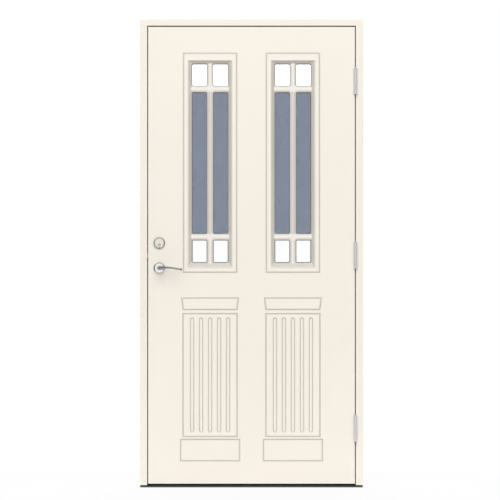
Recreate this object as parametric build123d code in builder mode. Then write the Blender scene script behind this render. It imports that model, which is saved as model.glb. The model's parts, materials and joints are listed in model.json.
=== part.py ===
from build123d import *
import os
from math import cos, radians, sin

# Outside door with its frame, right hung and opening outwards, without the wall.
# Millimetres, +Z up, the outside face towards -Y, hinges at +X and lock at -X.
# The origin is the middle of the threshold's underside.

# Frame
frame_width = 990.0
frame_height = 2080.0
frame_depth = 105.0
jamb_face = 31.0
head_face = 27.0
stop_step = 14.0
threshold_height = 10.0
threshold_stop_top = 25.0
threshold_stop_round = 3.0
nose_drop = 3.0
nose_depth = 6.0
channel_width = 8.0
channel_depth = 2.0
foot_width = 12.0
hollow_height = 3.0
arris = 1.5

# Leaf and the gaps round it
leaf_thickness = 62.0
outer_skin = 8.0
inner_skin = 6.0
leaf_side_gap = 4.0
leaf_top_gap = 5.0
leaf_bottom_gap = 6.0
seal_gap = 4.0
lock_stile_width = 110.0
hinge_stile_width = 70.0
rail_height = 100.0

# Seals
seal_width = 7.0
seal_centre = 4.5
seal_clearance = 0.3
seal_barb_width = 3.0
seal_barb_depth = 5.0
groove_side_clearance = 0.1
groove_end_clearance = 0.5
bulb_round = 1.8

# Milled panels of the outside face
column_x = 184.2
panel_width = 240.0
upper_panel_bottom = 954.5
upper_panel_top_margin = 116.3
fluted_panel_bottom = 226.0
fluted_panel_top = 772.0
capital_bottom = 789.0
capital_top = 843.0
capital_top_width = 255.0
capital_bottom_width = 242.0
plinth_width = 258.0
plinth_bottom = 120.0
plinth_top = 211.0
line_depth = 3.0
line_slope = 5.6
line_wall = 1.2
line_half = 3.5
line_overshoot = 1.0
flute_count = 5
flute_pitch = 40.0
flute_width = 20.0
flute_depth = 5.0
flute_slope = 5.5
flute_bottom = 244.0
flute_top = 756.0

# Windows
casing_width = 199.0
casing_bottom = 980.0
casing_top_margin = 146.0
casing_border = 19.0
casing_proud = 4.0
casing_round = 1.5
casing_slope = 12.0
edge_step = 4.0
inner_casing_margin = 10.0
neck_border = 4.0
neck_clearance = 0.25
upright_bar = 26.6
cross_bar = 28.0
top_light_height = 97.0
bottom_light_height = 101.0
bar_bevel = 12.0
bar_height = 7.0
light_corner = 6.5
bevel_corner = 8.0
glass_recess = 16.0
gasket_width = 2.5
gasket_height = 2.0
gasket_clearance = 0.1
liner_thickness = 18.0
pane_thickness = 4.0
pane_edge_gap = 1.0
spacer_width = 9.0

# Hinges
lower_hinge_height = 262.0
middle_hinge_height = 1032.0
upper_hinge_margin = 241.5
hinge_standoff = 9.0
barrel_radius = 8.5
hinge_pin_radius = 5.0
pin_clearance = 0.05
end_knuckle = 36.0
middle_knuckle = 45.0
knuckle_gap = 0.4
hinge_plate_depth = 37.5
hinge_plate_thickness = 3.0
hinge_screw_rows = (8.5, 28.5)
hinge_screw_spread = 88.0
hinge_screw_inner_spread = 30.8
pin_head_radius = 7.0
pin_head_height = 2.5

# Lock
backset = 50.0
lever_height = 976.0
latch_rise = 55.0
bolt_spacing = 10.0
deadbolt_drop = 15.0
ring_rise = 8.0
forend_width = 22.0
forend_margin = 17.5
forend_thickness = 3.0
case_margin = 48.5
case_depth = 83.0
case_thickness = 16.0
case_wall = 2.0
case_clearance = 0.2
bolt_thickness = 11.0
bolt_clearance = 0.3
journal_clearance = 0.08
latch_height = 20.0
latch_projection = 13.0
latch_body = 25.0
latch_bevel = 8.0
latch_nose_flat = 2.0
latch_arm_radius = 17.0
latch_arm_turn = 45.0
lever_hub_radius = 11.0
lever_journal_radius = 9.0
deadbolt_height = 26.0
deadbolt_length = 30.0
deadbolt_edge = 1.0
deadbolt_arm_radius = 14.142
deadbolt_arm_turn = 90.0
cam_hub_radius = 7.0
cam_journal_radius = 6.0
drive_pin_radius = 3.0
fork_clearance = 0.5
fork_prong = 5.0
fork_layer = 4.1
arm_layer_gap = 0.4
arm_width = 6.0
spindle_side = 8.0
spindle_clearance = 0.1
spindle_hole_clearance = 1.5
spindle_end_gap = 1.0
tail_width = 8.0
tail_thickness = 2.0

# Lever handles, roses and cylinder
rose_radius = 25.5
rose_step_radius = 17.0
rose_base = 4.5
rose_height = 9.0
rose_rim = 5.0
rose_edge = 1.2
lever_neck_radius = 9.0
lever_neck_start = 1.0
lever_knob_radius = 6.0
lever_reach = 104.0
lever_projection = 54.0
lever_rise = 2.0
lever_drop = 6.5
ring_radius = 26.5
ring_front_radius = 23.0
ring_bore = 20.0
ring_length = 11.0
ring_base = 2.0
ring_clearance = 0.1
cylinder_face_step = 1.5
cylinder_body_radius = 16.5
plug_radius = 7.0
keyway_height = 8.5
keyway_width = 2.0
keyway_depth = 6.0
keyway_wall = 1.0
thumbturn_length = 26.0
thumbturn_shaft_radius = 6.0
thumbturn_shaft_depth = 4.5
thumbturn_collar = 11.0
thumbturn_collar_height = 4.5
thumbturn_round = 2.0
thumbturn_lift = 0.2
tail_gap = 1.0
grip_width = 30.0
grip_thickness = 9.0

# Fixings
screw_radius = 2.0
screw_head_radius = 4.0
small_screw_radius = 1.5
small_head_radius = 3.0
hinge_screw_radius = 2.5
hinge_head_radius = 4.8
thread_clearance = 0.05
frame_screw_length = 70.0
hinge_frame_screw_length = 26.0
hinge_leaf_screw_length = 38.0
grille_screw_length = 22.0
grille_screw_end_margin = 46.0
grille_screw_rows = 3
forend_screw_length = 28.0
strike_screw_length = 24.0
lever_bolt_spread = 38.0
cylinder_bolt_spread = 20.0
cylinder_bolt_rise = 6.0
corner_screw_spread = 50.0
sleeve_radius = 7.0
sleeve_bore = 4.0
sleeve_depth_y = -21.0
sleeve_end_margin = 150.0
inner_sleeve_heights = (700.0, 1350.0)

# Strike
plate_end_margin = 8.0
strike_corner = 4.0
strike_margin = 3.0
tongue_setback = 3.0
strike_thickness = 3.0
strike_tongue_height = 44.0
pocket_depth = 17.0
pocket_side = 2.5

# Places worked out from the sizes above
front = -frame_depth / 2
back = frame_depth / 2
leaf_front = front
leaf_back = leaf_front + leaf_thickness
core_front = leaf_front + outer_skin
core_back = leaf_back - inner_skin
stop_face = leaf_back + seal_gap
side_x = frame_width / 2
rebate_x = side_x - jamb_face
stop_x = rebate_x - stop_step
rebate_top = frame_height - head_face
stop_top = rebate_top - stop_step
leaf_half = rebate_x - leaf_side_gap
leaf_bottom = threshold_height + leaf_bottom_gap
leaf_top = rebate_top - leaf_top_gap
leaf_height = leaf_top - leaf_bottom
leaf_mid = (leaf_top + leaf_bottom) / 2
core_left = -leaf_half + lock_stile_width
core_right = leaf_half - hinge_stile_width
core_bottom = leaf_bottom + rail_height
core_top = leaf_top - rail_height

upper_panel_top = leaf_top - upper_panel_top_margin
casing_height = leaf_top - casing_top_margin - casing_bottom
window_z = casing_bottom + casing_height / 2
opening_width = casing_width - 2 * casing_border
opening_height = casing_height - 2 * casing_border
light_width = (opening_width - upright_bar) / 2
tall_light_height = opening_height - top_light_height - bottom_light_height - 2 * cross_bar
hole_width = casing_width - 2 * neck_border
hole_height = casing_height - 2 * neck_border
glass_front = leaf_front + glass_recess
glass_back = leaf_back - glass_recess
liner_width = hole_width + 2 * liner_thickness
liner_height = hole_height + 2 * liner_thickness

hinge_heights = {
    "lower": lower_hinge_height,
    "middle": middle_hinge_height,
    "upper": leaf_top - upper_hinge_margin,
}
latch_centre = lever_height + latch_rise
deadbolt_centre = latch_centre + (latch_height + deadbolt_height) / 2 + bolt_spacing
turn_height = deadbolt_centre + deadbolt_drop
ring_height = turn_height + ring_rise
forend_centre = (lever_height + turn_height) / 2
case_length = turn_height - lever_height + 2 * case_margin
forend_length = case_length + 2 * forend_margin
lock_x = -leaf_half + backset
lock_y = (leaf_front + leaf_back) / 2
hinge_x = rebate_x - leaf_side_gap / 2
hinge_y = leaf_front - hinge_standoff
hinge_length = 2 * end_knuckle + middle_knuckle


def upright(y):
    """Plane facing outside at the depth y, with local x along X and local y along Z."""
    return Plane.XZ.offset(-y)


def sideways(x):
    """Plane facing +X at x, with local x along Y and local y along Z."""
    return Plane.YZ.offset(x)


def seat(x, y, z, direction):
    """Seat of a fastener: its head faces along direction."""
    return Plane(origin=(x, y, z), z_dir=direction)


def countersunk_screw(shank, head, length):
    """Countersunk screw under its seat, with a head cone of 90 degrees."""
    cone = head - shank
    with BuildPart() as screw:
        with BuildSketch(Plane.XZ):
            with BuildLine():
                Polyline(
                    (0, 0),
                    (head, 0),
                    (shank, -cone),
                    (shank, -length),
                    (0, -length),
                    close=True,
                )
            make_face()
        revolve(axis=Axis.Z)
    return screw.part


def write(piece, name):
    """Label a finished piece and write it under its own name."""
    piece.label = name
    export_step(piece, f"parts/{name}.step")


os.makedirs("parts", exist_ok=True)

# Seats of the fasteners, shared by each screw and the hole that takes it
hinge_screw_places = [
    (front + hinge_screw_rows[0], -hinge_screw_spread / 2),
    (front + hinge_screw_rows[1], -hinge_screw_inner_spread / 2),
    (front + hinge_screw_rows[1], hinge_screw_inner_spread / 2),
    (front + hinge_screw_rows[0], hinge_screw_spread / 2),
]
hinge_frame_seats = [
    seat(rebate_x, y, z + dz, (-1, 0, 0))
    for z in hinge_heights.values()
    for y, dz in hinge_screw_places
]
hinge_leaf_seats = [
    seat(leaf_half, y, z + dz, (1, 0, 0))
    for z in hinge_heights.values()
    for y, dz in hinge_screw_places
]
strike_seats = [
    seat(-rebate_x, lock_y, forend_centre + side * (forend_length / 2 - plate_end_margin), (1, 0, 0))
    for side in (-1, 1)
]
forend_seats = [
    seat(-leaf_half, lock_y, forend_centre + side * (forend_length / 2 - plate_end_margin), (-1, 0, 0))
    for side in (-1, 1)
]
head_screw_seats = [
    seat(side * (side_x - jamb_face / 2), y, frame_height, (0, 0, 1))
    for side in (-1, 1)
    for y in (-corner_screw_spread / 2, corner_screw_spread / 2)
]
threshold_screw_seats = [
    seat(side * (side_x - jamb_face / 2), y, 0, (0, 0, -1))
    for side in (-1, 1)
    for y in (-corner_screw_spread / 2, corner_screw_spread / 2)
]
sleeve_heights = (sleeve_end_margin, *inner_sleeve_heights, frame_height - sleeve_end_margin)
lever_bolt_seats = [
    seat(lock_x + side * lever_bolt_spread / 2, leaf_back + rose_base, lever_height, (0, 1, 0))
    for side in (-1, 1)
]
cylinder_bolt_seats = [
    seat(lock_x + side * cylinder_bolt_spread / 2, leaf_back + rose_base,
         ring_height + cylinder_bolt_rise, (0, 1, 0))
    for side in (-1, 1)
]
bolt_end_y = leaf_front - rose_base / 2
cylinder_bolt_end_y = leaf_front + outer_skin / 2
grille_screw_x = (casing_width + inner_casing_margin) / 2
grille_screw_pitch = (casing_height - 2 * grille_screw_end_margin) / (grille_screw_rows - 1)
grille_seats = {
    column: [
        seat(column * column_x + side * grille_screw_x, leaf_back + casing_proud,
             casing_bottom + grille_screw_end_margin + row * grille_screw_pitch, (0, 1, 0))
        for side in (-1, 1)
        for row in range(grille_screw_rows)
    ]
    for column in (-1, 1)
}


# Seal groove: a U in the stop of both jambs and the head, which takes the barb of the frame seal
seal_x = stop_x + seal_centre
seal_top_z = stop_top + seal_centre
seal_bottom_z = threshold_stop_top - seal_centre
groove_width = seal_barb_width + 2 * groove_side_clearance
groove_depth = seal_barb_depth + groove_end_clearance


def portal(width, near, far):
    """U of the given width that follows the stop of the two jambs and the head, from near to far."""
    with BuildPart() as piece:
        with BuildSketch(upright(near)):
            with Locations((0, threshold_height)):
                Rectangle(2 * seal_x + width, seal_top_z + width / 2 - threshold_height,
                          align=(Align.CENTER, Align.MIN))
                Rectangle(2 * seal_x - width, seal_top_z - width / 2 - threshold_height,
                          align=(Align.CENTER, Align.MIN), mode=Mode.SUBTRACT)
        extrude(amount=near - far)
    return piece.part


seal_groove = portal(groove_width, stop_face, stop_face + groove_depth)

# Jambs: one timber section with the rebate for the leaf


def jamb_blank(side):
    """Jamb without its mortises, on the side +1 or -1."""
    with BuildPart() as blank:
        with BuildSketch(Plane.XY.offset(threshold_height)):
            with BuildLine():
                Polyline(
                    (side * rebate_x, front),
                    (side * side_x, front),
                    (side * side_x, back),
                    (side * stop_x, back),
                    (side * stop_x, stop_face),
                    (side * rebate_x, stop_face),
                    close=True,
                )
            make_face()
        extrude(amount=rebate_top - threshold_height)
        fillet(blank.edges().filter_by(Axis.Z).group_by(Axis.Y)[0], arris)
        add(seal_groove, mode=Mode.SUBTRACT)
        with Locations(*[seat(side * rebate_x, sleeve_depth_y, z, (-side, 0, 0)) for z in sleeve_heights]):
            Hole(sleeve_radius + thread_clearance, depth=jamb_face)
        with Locations(*[place for place in head_screw_seats + threshold_screw_seats
                         if place.origin.X * side > 0]):
            CounterSinkHole(screw_radius + thread_clearance, screw_head_radius,
                            frame_screw_length, counter_sink_angle=90)
    return blank.part


with BuildPart() as hinge_jamb:
    add(jamb_blank(1))
    for z in hinge_heights.values():
        with BuildSketch(sideways(rebate_x)):
            with Locations((front + hinge_plate_depth / 2, z)):
                Rectangle(hinge_plate_depth, hinge_length)
        extrude(amount=hinge_plate_thickness, mode=Mode.SUBTRACT)
    with Locations(*hinge_frame_seats):
        Hole(hinge_screw_radius + thread_clearance, depth=hinge_frame_screw_length)
write(hinge_jamb.part, "hinge_jamb")

# Openings of the strike and the forend: places of the latch bolt and the deadbolt
bolt_places = {
    "latch": (latch_centre, latch_height),
    "deadbolt": (deadbolt_centre, deadbolt_height),
}
tongue_front = front + tongue_setback

with BuildPart() as strike_plate:
    with BuildSketch(sideways(-rebate_x - strike_thickness)):
        with Locations((lock_y, forend_centre)):
            Rectangle(forend_width, forend_length)
        with Locations(((tongue_front + lock_y) / 2, latch_centre)):
            Rectangle(lock_y - tongue_front, strike_tongue_height)
    extrude(amount=strike_thickness)
    fillet(strike_plate.edges().filter_by(Axis.X).group_by(Axis.Y)[0], strike_corner)
    with BuildSketch(sideways(-rebate_x - strike_thickness)):
        for z, height in bolt_places.values():
            with Locations((lock_y, z)):
                Rectangle(bolt_thickness + 2 * pocket_side, height + 2 * strike_margin)
    extrude(amount=strike_thickness, mode=Mode.SUBTRACT)
    with Locations(*strike_seats):
        CounterSinkHole(screw_radius + thread_clearance, screw_head_radius,
                        strike_screw_length, counter_sink_angle=90)
write(strike_plate.part, "strike_plate")

with BuildPart() as lock_jamb:
    add(jamb_blank(-1))
    with BuildSketch(sideways(-rebate_x - strike_thickness)):
        with Locations((lock_y, forend_centre)):
            Rectangle(forend_width, forend_length)
        with Locations(((tongue_front + lock_y) / 2, latch_centre)):
            Rectangle(lock_y - tongue_front, strike_tongue_height)
    extrude(amount=strike_thickness, mode=Mode.SUBTRACT)
    pocket_bottom = latch_centre - latch_height / 2 - strike_margin
    pocket_top = deadbolt_centre + deadbolt_height / 2 + strike_margin
    with BuildSketch(sideways(-rebate_x - strike_thickness)):
        with Locations((lock_y, (pocket_bottom + pocket_top) / 2)):
            Rectangle(bolt_thickness + 2 * pocket_side, pocket_top - pocket_bottom)
    extrude(amount=-pocket_depth, mode=Mode.SUBTRACT)
    with Locations(*strike_seats):
        Hole(screw_radius + thread_clearance, depth=strike_screw_length)
write(lock_jamb.part, "lock_jamb")

# Head: lies across both jambs, with its own stop between theirs
with BuildPart() as frame_head:
    with BuildSketch(sideways(-side_x)):
        with Locations((0, (rebate_top + frame_height) / 2)):
            Rectangle(frame_depth, head_face)
    extrude(amount=frame_width)
    with BuildSketch(sideways(-stop_x)):
        with Locations(((stop_face + back) / 2, (stop_top + rebate_top) / 2)):
            Rectangle(back - stop_face, stop_step)
    extrude(amount=2 * stop_x)
    fillet(frame_head.edges().filter_by(Axis.X).group_by(Axis.Y)[0], arris)
    add(seal_groove, mode=Mode.SUBTRACT)
    with Locations(*head_screw_seats):
        CounterSinkHole(screw_radius + thread_clearance, screw_head_radius,
                        frame_screw_length, counter_sink_angle=90)
write(frame_head.part, "frame_head")

# Threshold: an aluminium section with a sloped nose, two drip channels above and two hollows below
hollow_depth = (frame_depth - 3 * foot_width) / 2
with BuildPart() as threshold_plate:
    with BuildSketch(sideways(-side_x)):
        with BuildLine():
            Polyline(
                (front, 0),
                (back, 0),
                (back, threshold_height),
                (front + nose_depth, threshold_height),
                (front, threshold_height - nose_drop),
                close=True,
            )
        make_face()
        for y in (leaf_front + nose_depth + 2 * channel_width, leaf_back - 2 * channel_width):
            with Locations((y, threshold_height)):
                Rectangle(channel_width, 2 * channel_depth, mode=Mode.SUBTRACT)
    extrude(amount=frame_width)
    with BuildSketch(Plane.XY):
        for side in (-1, 1):
            with Locations((0, side * (foot_width + hollow_depth) / 2)):
                Rectangle(2 * stop_x, hollow_depth)
    extrude(amount=hollow_height, mode=Mode.SUBTRACT)
    with Locations(*threshold_screw_seats):
        CounterSinkHole(screw_radius + thread_clearance, screw_head_radius,
                        frame_screw_length, counter_sink_angle=90)
write(threshold_plate.part, "threshold_plate")

with BuildPart() as threshold_stop:
    with BuildSketch(sideways(-stop_x)):
        with Locations(((stop_face + back) / 2, (threshold_height + threshold_stop_top) / 2)):
            Rectangle(back - stop_face, threshold_stop_top - threshold_height)
    extrude(amount=2 * stop_x)
    fillet(threshold_stop.edges().filter_by(Axis.X).group_by(Axis.Z)[-1], threshold_stop_round)
    with BuildSketch(upright(stop_face)):
        with Locations((0, seal_bottom_z)):
            Rectangle(2 * stop_x, groove_width)
    extrude(amount=-groove_depth, mode=Mode.SUBTRACT)
write(threshold_stop.part, "threshold_stop")

# Seals: a bulb that the leaf presses on, with a barb in the groove of the stop
bulb_front = leaf_back + seal_clearance

with BuildPart() as frame_seal:
    add(portal(seal_width, bulb_front, stop_face))
    fillet(frame_seal.faces().sort_by(Axis.Y)[0].edges().filter_by(
        lambda e: e.center().Z > threshold_height + seal_width), bulb_round)
    add(portal(seal_barb_width, stop_face, stop_face + seal_barb_depth))
write(frame_seal.part, "frame_seal")

threshold_seal_half = seal_x - seal_width / 2 - seal_clearance
with BuildPart() as threshold_seal:
    with BuildSketch(upright(bulb_front)):
        with Locations((0, seal_bottom_z)):
            Rectangle(2 * threshold_seal_half, seal_width)
    extrude(amount=bulb_front - stop_face)
    fillet(threshold_seal.edges().filter_by(Axis.X).group_by(Axis.Y)[0], bulb_round)
    with BuildSketch(upright(stop_face)):
        with Locations((0, seal_bottom_z)):
            Rectangle(2 * stop_x, seal_barb_width)
    extrude(amount=-seal_barb_depth)
write(threshold_seal.part, "threshold_seal")

# Screws and fixing sleeves of the frame
frame_screw = countersunk_screw(screw_radius, screw_head_radius, frame_screw_length)
with BuildPart() as frame_screws:
    with Locations(*head_screw_seats, *threshold_screw_seats):
        add(frame_screw)
write(frame_screws.part, "frame_screws")

strike_screw = countersunk_screw(screw_radius, screw_head_radius, strike_screw_length)
with BuildPart() as strike_screws:
    with Locations(*strike_seats):
        add(strike_screw)
write(strike_screws.part, "strike_screws")

with BuildPart() as frame_sleeves:
    for side in (-1, 1):
        for z in sleeve_heights:
            with BuildSketch(sideways(side * rebate_x)):
                with Locations((sleeve_depth_y, z)):
                    Circle(sleeve_radius)
                    Circle(sleeve_bore, mode=Mode.SUBTRACT)
            extrude(amount=side * jamb_face)
write(frame_sleeves.part, "frame_sleeves")

# Hinges: the frame leaf has the end knuckles, the door leaf has the middle one, and a pin joins them
hinge_screw = countersunk_screw(hinge_screw_radius, hinge_head_radius, hinge_frame_screw_length)
hinge_leaf_screw = countersunk_screw(hinge_screw_radius, hinge_head_radius, hinge_leaf_screw_length)


def hinge_half(z, side, plate_face, knuckles, seats):
    """Half of a hinge at the height z: a screwed plate on the side +1 or -1 and its knuckles (low, high)."""
    bottom = z - hinge_length / 2
    with BuildPart() as half:
        with BuildSketch(sideways(plate_face)):
            with Locations((front + hinge_plate_depth / 2, z)):
                Rectangle(hinge_plate_depth, hinge_length)
            for low, high in knuckles:
                with Locations(((hinge_y + front) / 2, bottom + (low + high) / 2)):
                    Rectangle(front - hinge_y, high - low)
        extrude(amount=side * hinge_plate_thickness)
        for low, high in knuckles:
            with BuildSketch(Plane.XY.offset(bottom + low)):
                with Locations((hinge_x, hinge_y)):
                    Circle(barrel_radius)
            extrude(amount=high - low)
        with BuildSketch(Plane.XY.offset(bottom)):
            with Locations((hinge_x, hinge_y)):
                Circle(hinge_pin_radius + pin_clearance)
        extrude(amount=hinge_length, mode=Mode.SUBTRACT)
        with Locations(*seats):
            CounterSinkHole(hinge_screw_radius + thread_clearance, hinge_head_radius,
                            hinge_plate_thickness, counter_sink_angle=90)
    return half.part


end_knuckles = [(0, end_knuckle), (end_knuckle + middle_knuckle, hinge_length)]
centre_knuckle = [(end_knuckle + knuckle_gap, end_knuckle + middle_knuckle - knuckle_gap)]
for name, z in hinge_heights.items():
    frame_seats = [place for place in hinge_frame_seats if abs(place.origin.Z - z) < hinge_length]
    leaf_seats = [place for place in hinge_leaf_seats if abs(place.origin.Z - z) < hinge_length]
    write(hinge_half(z, 1, rebate_x, end_knuckles, frame_seats), f"{name}_hinge_frame_leaf")
    write(hinge_half(z, -1, leaf_half, centre_knuckle, leaf_seats), f"{name}_hinge_door_leaf")

with BuildPart() as hinge_pins:
    for z in hinge_heights.values():
        with BuildSketch(Plane.XZ.offset(-hinge_y)):
            with BuildLine():
                Polyline(
                    (hinge_x, z - hinge_length / 2),
                    (hinge_x + hinge_pin_radius, z - hinge_length / 2),
                    (hinge_x + hinge_pin_radius, z + hinge_length / 2),
                    (hinge_x + pin_head_radius, z + hinge_length / 2),
                    (hinge_x + pin_head_radius, z + hinge_length / 2 + pin_head_height / 2),
                    (hinge_x + pin_head_radius / 2, z + hinge_length / 2 + pin_head_height),
                    (hinge_x, z + hinge_length / 2 + pin_head_height),
                    close=True,
                )
            make_face()
        revolve(axis=Axis((hinge_x, hinge_y, 0), (0, 0, 1)))
write(hinge_pins.part, "hinge_pins")

with BuildPart() as hinge_frame_screws:
    with Locations(*hinge_frame_seats):
        add(hinge_screw)
write(hinge_frame_screws.part, "hinge_frame_screws")

with BuildPart() as hinge_leaf_screws:
    with Locations(*hinge_leaf_seats):
        add(hinge_leaf_screw)
write(hinge_leaf_screws.part, "hinge_leaf_screws")

# Lines milled round the panels of each column: the width of the inner and the outer slope of the
# line, and its corner points. A panel looks raised where the inner slope is the wide one.
panel_outlines = [
    (line_slope, line_wall,
     (-panel_width / 2, upper_panel_bottom), (-panel_width / 2, upper_panel_top),
     (panel_width / 2, upper_panel_top), (panel_width / 2, upper_panel_bottom)),
    (line_slope, line_wall,
     (-capital_bottom_width / 2, capital_bottom), (-capital_top_width / 2, capital_top),
     (capital_top_width / 2, capital_top), (capital_bottom_width / 2, capital_bottom)),
    (line_half, line_half,
     (-panel_width / 2, fluted_panel_bottom), (-panel_width / 2, fluted_panel_top),
     (panel_width / 2, fluted_panel_top), (panel_width / 2, fluted_panel_bottom)),
    (line_wall, line_slope,
     (-plinth_width / 2, plinth_bottom), (-plinth_width / 2, plinth_top),
     (plinth_width / 2, plinth_top), (plinth_width / 2, plinth_bottom)),
]


def milled_line(inner, outer, corners, x):
    """Cutter of a V-shaped line through the corners, in the column at x, with slopes of two widths."""
    first, last = corners[0], corners[-1]
    middle = ((first[0] + last[0]) / 2, (first[1] + last[1]) / 2)
    with BuildPart() as cutter:
        with BuildLine(upright(leaf_front)) as path:
            Polyline(*[(x + px, pz) for px, pz in (middle, *corners, middle)])
        with BuildSketch(Plane(origin=path.line @ 0, x_dir=(0, 0, -1), z_dir=path.line % 0)):
            with BuildLine():
                Polyline(
                    (-inner, 0),
                    (0, -line_depth),
                    (outer, 0),
                    (outer, line_overshoot),
                    (-inner, line_overshoot),
                    close=True,
                )
            make_face()
        sweep(path=path.wires()[0], transition=Transition.RIGHT)
    return cutter.part


# Flute: a flat-bottomed channel with sloping walls and round ends
flute_middle = (flute_bottom + flute_top) / 2
flute_length = flute_top - flute_bottom

with BuildPart() as flute_cutter:
    with BuildSketch(Plane.XZ):
        SlotOverall(flute_length, flute_width, rotation=90)
    with BuildSketch(Plane.XZ.offset(-flute_depth)):
        SlotOverall(flute_length - 2 * flute_slope, flute_width - 2 * flute_slope, rotation=90)
    loft()


def lock_hole_seats(y, direction):
    """Seats of the lever's and the cylinder's holes on a face at y."""
    return seat(lock_x, y, lever_height, direction), seat(lock_x, y, ring_height, direction)


spindle_hole_radius = spindle_side / 2 ** 0.5 + spindle_hole_clearance
cylinder_hole_radius = cylinder_body_radius + bolt_clearance
bolt_hole_radius = screw_radius + thread_clearance

with BuildPart() as leaf_outer_skin:
    with BuildSketch(upright(leaf_front)):
        with Locations((0, leaf_mid)):
            Rectangle(2 * leaf_half, leaf_height)
    extrude(amount=-outer_skin)
    fillet(leaf_outer_skin.faces().sort_by(Axis.Y)[0].edges(), arris)
    for side in (-1, 1):
        for inner, outer, *corners in panel_outlines:
            add(milled_line(inner, outer, corners, side * column_x), mode=Mode.SUBTRACT)
        first_flute = side * column_x - flute_pitch * (flute_count - 1) / 2
        with Locations(*[(first_flute + flute_pitch * i, leaf_front, flute_middle)
                         for i in range(flute_count)]):
            add(flute_cutter.part, mode=Mode.SUBTRACT)
        with BuildSketch(upright(leaf_front)):
            with Locations((side * column_x, window_z)):
                Rectangle(hole_width, hole_height)
        extrude(amount=-outer_skin, mode=Mode.SUBTRACT)
    for z in hinge_heights.values():
        with BuildSketch(sideways(leaf_half)):
            with Locations((front + hinge_plate_depth / 2, z)):
                Rectangle(hinge_plate_depth, hinge_length)
        extrude(amount=-hinge_plate_thickness, mode=Mode.SUBTRACT)
    lever_seat, ring_seat = lock_hole_seats(leaf_front, (0, -1, 0))
    with Locations(lever_seat):
        Hole(spindle_hole_radius, depth=outer_skin)
    with Locations(ring_seat):
        Hole(cylinder_hole_radius, depth=outer_skin)
    with Locations(*lever_bolt_seats):
        Hole(bolt_hole_radius, depth=2 * leaf_thickness)
    with Locations(*hinge_leaf_seats):
        Hole(hinge_screw_radius + thread_clearance, depth=hinge_leaf_screw_length)
write(leaf_outer_skin.part, "leaf_outer_skin")

with BuildPart() as leaf_inner_skin:
    with BuildSketch(upright(leaf_back)):
        with Locations((0, leaf_mid)):
            Rectangle(2 * leaf_half, leaf_height)
        for side in (-1, 1):
            with Locations((side * column_x, window_z)):
                Rectangle(hole_width, hole_height, mode=Mode.SUBTRACT)
    extrude(amount=inner_skin)
    lever_seat, ring_seat = lock_hole_seats(leaf_back, (0, 1, 0))
    with Locations(lever_seat):
        Hole(spindle_hole_radius, depth=inner_skin)
    with Locations(seat(lock_x, leaf_back, turn_height, (0, 1, 0))):
        Hole(thumbturn_shaft_radius + bolt_clearance, depth=inner_skin)
    with Locations(*lever_bolt_seats, *cylinder_bolt_seats):
        Hole(bolt_hole_radius, depth=leaf_thickness / 2)
    with Locations(*grille_seats[-1], *grille_seats[1]):
        Hole(small_screw_radius + thread_clearance, depth=grille_screw_length)
write(leaf_inner_skin.part, "leaf_inner_skin")

# Core frame of the leaf: two stiles over the whole height, two rails between them and foam in the field
case_front = -leaf_half + forend_thickness
case_back = case_front + case_depth
lock_bore_depth = lock_y - case_thickness / 2 - core_front

with BuildPart() as lock_stile:
    with BuildSketch(upright(core_front)):
        with Locations(((core_left - leaf_half) / 2, leaf_mid)):
            Rectangle(lock_stile_width, leaf_height)
    extrude(amount=core_front - core_back)
    with BuildSketch(sideways(-leaf_half)):
        with Locations((lock_y, forend_centre)):
            Rectangle(forend_width, forend_length)
    extrude(amount=forend_thickness, mode=Mode.SUBTRACT)
    with BuildSketch(sideways(case_front)):
        with Locations((lock_y, forend_centre)):
            Rectangle(case_thickness + 2 * case_clearance, case_length + 2 * case_clearance)
    extrude(amount=case_depth + case_clearance, mode=Mode.SUBTRACT)
    with Locations(seat(lock_x, core_front, lever_height, (0, -1, 0))):
        Hole(spindle_hole_radius, depth=core_back - core_front)
    with Locations(seat(lock_x, core_front, ring_height, (0, -1, 0))):
        Hole(cylinder_hole_radius, depth=lock_bore_depth)
    with Locations(seat(lock_x, core_back, turn_height, (0, 1, 0))):
        Hole(thumbturn_shaft_radius + bolt_clearance, depth=core_back - lock_y)
    with Locations(*lever_bolt_seats, *cylinder_bolt_seats):
        Hole(bolt_hole_radius, depth=2 * leaf_thickness)
    with Locations(*forend_seats):
        Hole(screw_radius + thread_clearance, depth=forend_screw_length)
write(lock_stile.part, "lock_stile")

with BuildPart() as hinge_stile:
    with BuildSketch(upright(core_front)):
        with Locations(((core_right + leaf_half) / 2, leaf_mid)):
            Rectangle(hinge_stile_width, leaf_height)
    extrude(amount=core_front - core_back)
    for z in hinge_heights.values():
        with BuildSketch(sideways(leaf_half)):
            with Locations((front + hinge_plate_depth / 2, z)):
                Rectangle(hinge_plate_depth, hinge_length)
        extrude(amount=-hinge_plate_thickness, mode=Mode.SUBTRACT)
    with Locations(*hinge_leaf_seats):
        Hole(hinge_screw_radius + thread_clearance, depth=hinge_leaf_screw_length)
write(hinge_stile.part, "hinge_stile")

for name, z in (("bottom_rail", (leaf_bottom + core_bottom) / 2), ("top_rail", (leaf_top + core_top) / 2)):
    with BuildPart() as rail:
        with BuildSketch(upright(core_front)):
            with Locations(((core_left + core_right) / 2, z)):
                Rectangle(core_right - core_left, rail_height)
        extrude(amount=core_front - core_back)
    write(rail.part, name)

with BuildPart() as insulation_core:
    with BuildSketch(upright(core_front)):
        with Locations(((core_left + core_right) / 2, (core_bottom + core_top) / 2)):
            Rectangle(core_right - core_left, core_top - core_bottom)
        for side in (-1, 1):
            with Locations((side * column_x, window_z)):
                Rectangle(liner_width, liner_height, mode=Mode.SUBTRACT)
    extrude(amount=core_front - core_back)
write(insulation_core.part, "insulation_core")

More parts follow.
